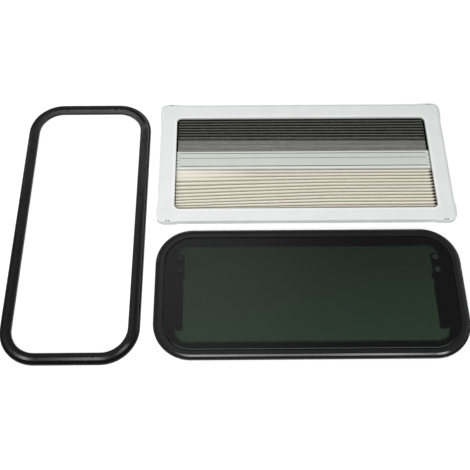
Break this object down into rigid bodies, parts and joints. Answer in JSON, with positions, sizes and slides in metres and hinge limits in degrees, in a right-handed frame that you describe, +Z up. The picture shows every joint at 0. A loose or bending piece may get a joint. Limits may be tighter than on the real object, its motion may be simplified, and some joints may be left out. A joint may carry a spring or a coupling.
{
  "type": "caravan window with clamp ring and blind cassette",
  "caption": "Top-hung caravan window with tinted glass, its clamp ring and a cassette with flyscreen and pleated blind, laid out flat as a kit.",
  "frame": {"origin": "middle of the laid-out kit, on the floor that its three units rest on", "axes": "+X to the right along the window's width, +Y from the latch side to the hinge side of the window, +Z up out of the glass"},
  "size_m": [1.363, 0.9, 0.0357],
  "materials": {
    "frame_black": "satin black powder coat",
    "black_rubber": "matt extruded rubber",
    "print_black": "black ceramic print seen through the glass",
    "tinted_glass": "green tinted safety glass, polished",
    "hardware_black": "moulded black plastic, fine grain",
    "hardware_steel": "zinc plated steel",
    "ring_black": "moulded black plastic, satin",
    "rail_white": "white extruded plastic, satin",
    "corner_white": "white moulded plastic, satin",
    "bar_white": "off-white painted aluminium",
    "net_grey": "dark grey woven net, see-through",
    "blind_beige": "beige pleated cloth"
  },
  "bodies": {
    "root": {"window_frame": "frame_black", "flange_seal": "black_rubber", "glass_gasket": "black_rubber", "glass_pane": "tinted_glass", "printed_border": "print_black", "hinge_base": "frame_black", "hinge_rail": "frame_black", "bolt_caps_left": "hardware_black", "bolt_caps_right": "hardware_black", "stay_bracket_left": "hardware_black", "stay_bracket_right": "hardware_black", "stay_rod_left": "hardware_steel", "stay_rod_right": "hardware_steel", "stay_tube_left": "hardware_black", "stay_tube_right": "hardware_black", "stay_knob_left": "hardware_black", "stay_knob_right": "hardware_black", "stay_anchor_left": "hardware_steel", "stay_anchor_right": "hardware_steel", "latch_body_left": "hardware_black", "latch_body_right": "hardware_black", "latch_lever_left": "hardware_black", "latch_lever_right": "hardware_black", "latch_keeper_left": "hardware_steel", "latch_keeper_right": "hardware_steel", "clamp_ring": "ring_black", "rail_top": "rail_white", "rail_bottom": "rail_white", "rail_left": "rail_white", "rail_right": "rail_white", "corner_top_left": "corner_white", "corner_top_right": "corner_white", "corner_bottom_left": "corner_white", "corner_bottom_right": "corner_white", "inner_bezel": "corner_white", "flyscreen": "net_grey", "pleated_blind": "blind_beige", "flyscreen_bar": "bar_white", "blind_bar": "bar_white", "flyscreen_slide_left": "corner_white", "flyscreen_slide_right": "corner_white", "blind_slide_left": "corner_white", "blind_slide_right": "corner_white"}
  },
  "joints": []
}
